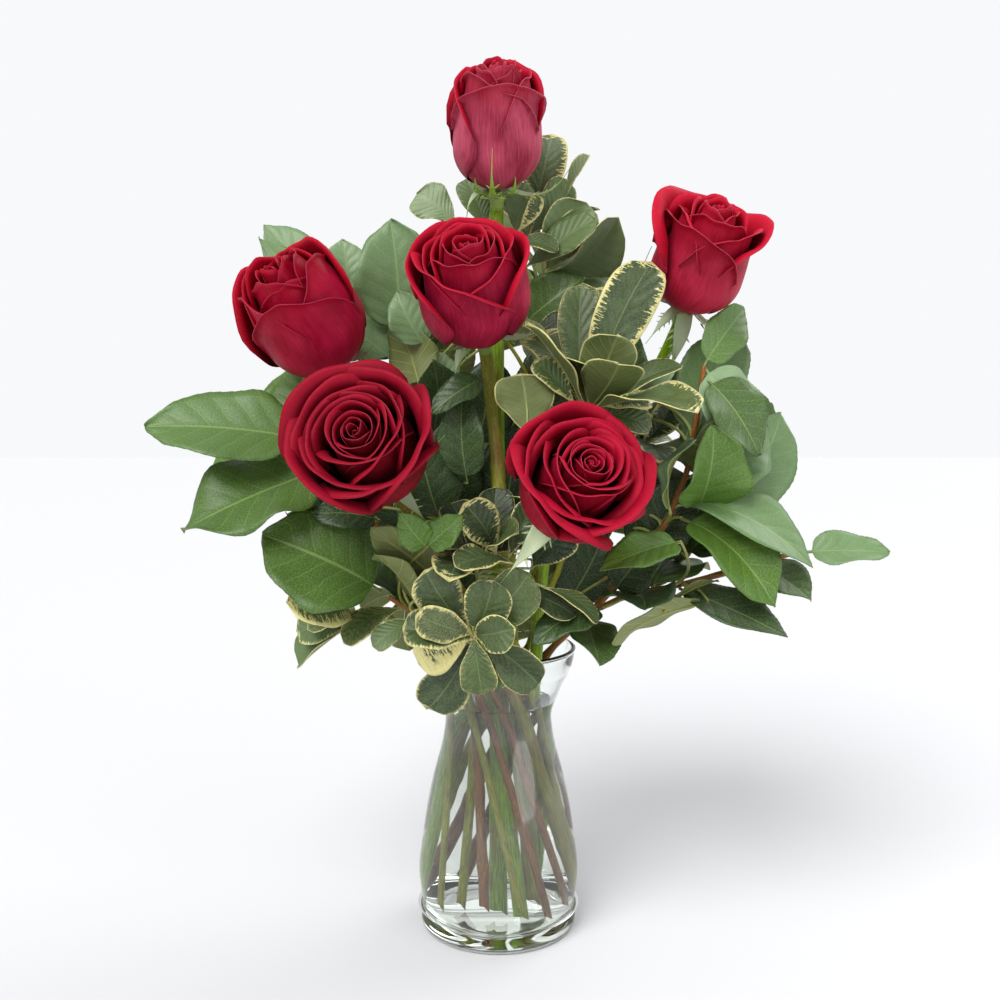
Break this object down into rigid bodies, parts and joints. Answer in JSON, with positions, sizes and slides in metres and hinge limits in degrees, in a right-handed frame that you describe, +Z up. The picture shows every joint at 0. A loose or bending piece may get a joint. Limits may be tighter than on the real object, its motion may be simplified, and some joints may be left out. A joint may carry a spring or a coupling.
{
  "type": "roses in a vase",
  "caption": "Bunch of red roses with salal and cream-edged pittosporum leaves, standing in a waisted clear glass vase of water.",
  "frame": {"origin": "middle of the vase's flat base, where it rests on a table", "axes": "+Z up along the vase's axis; -Y is the front of the arrangement, where the open roses look out; +X is to the right seen from the front"},
  "size_m": [0.454, 0.2322, 0.5354],
  "materials": {
    "glass": "gloss",
    "water": "gloss",
    "petal": "velvety",
    "calyx": "satin",
    "rose_stem": "satin",
    "salal_stem": "satin",
    "salal_leaf": "semi-gloss",
    "pittosporum_stem": "matte",
    "pittosporum_leaf": "satin"
  },
  "bodies": {
    "root": {"vase": "glass", "water": "water", "rose_top_stem": "rose_stem", "rose_top_calyx": "calyx", "rose_top_bloom": "petal", "rose_left_stem": "rose_stem", "rose_left_calyx": "calyx", "rose_left_bloom": "petal", "rose_middle_stem": "rose_stem", "rose_middle_calyx": "calyx", "rose_middle_bloom": "petal", "rose_right_stem": "rose_stem", "rose_right_calyx": "calyx", "rose_right_bloom": "petal", "rose_low_left_stem": "rose_stem", "rose_low_left_calyx": "calyx", "rose_low_left_bloom": "petal", "rose_low_right_stem": "rose_stem", "rose_low_right_calyx": "calyx", "rose_low_right_bloom": "petal", "salal_left_stem": "salal_stem", "salal_left_leaf_1": "salal_leaf", "salal_left_leaf_2": "salal_leaf", "salal_left_leaf_3": "salal_leaf", "salal_left_leaf_4": "salal_leaf", "salal_upper_stem": "salal_stem", "salal_upper_leaf_1": "salal_leaf", "salal_upper_leaf_2": "salal_leaf", "salal_upper_leaf_3": "salal_leaf", "salal_upper_leaf_4": "salal_leaf", "salal_low_left_stem": "salal_stem", "salal_low_left_leaf_1": "salal_leaf", "salal_low_left_leaf_2": "salal_leaf", "salal_low_left_leaf_3": "salal_leaf", "salal_right_stem": "salal_stem", "salal_right_leaf_1": "salal_leaf", "salal_right_leaf_2": "salal_leaf", "salal_right_leaf_3": "salal_leaf", "salal_right_leaf_4": "salal_leaf", "salal_right_leaf_5": "salal_leaf", "salal_low_right_stem": "salal_stem", "salal_low_right_leaf_1": "salal_leaf", "salal_low_right_leaf_2": "salal_leaf", "salal_low_right_leaf_3": "salal_leaf", "salal_low_right_leaf_4": "salal_leaf", "salal_low_right_leaf_5": "salal_leaf", "pittosporum_front_stem": "pittosporum_stem", "pittosporum_front_leaves": "pittosporum_leaf", "pittosporum_upper_right_stem": "pittosporum_stem", "pittosporum_upper_right_leaves": "pittosporum_leaf", "pittosporum_top_stem": "pittosporum_stem", "pittosporum_top_leaves": "pittosporum_leaf", "pittosporum_low_left_stem": "pittosporum_stem", "pittosporum_low_left_leaves": "pittosporum_leaf", "pittosporum_back_stem": "pittosporum_stem", "pittosporum_back_leaves": "pittosporum_leaf", "pittosporum_centre_stem": "pittosporum_stem", "pittosporum_centre_leaves": "pittosporum_leaf", "pittosporum_right_stem": "pittosporum_stem", "pittosporum_right_leaves": "pittosporum_leaf"}
  },
  "joints": []
}
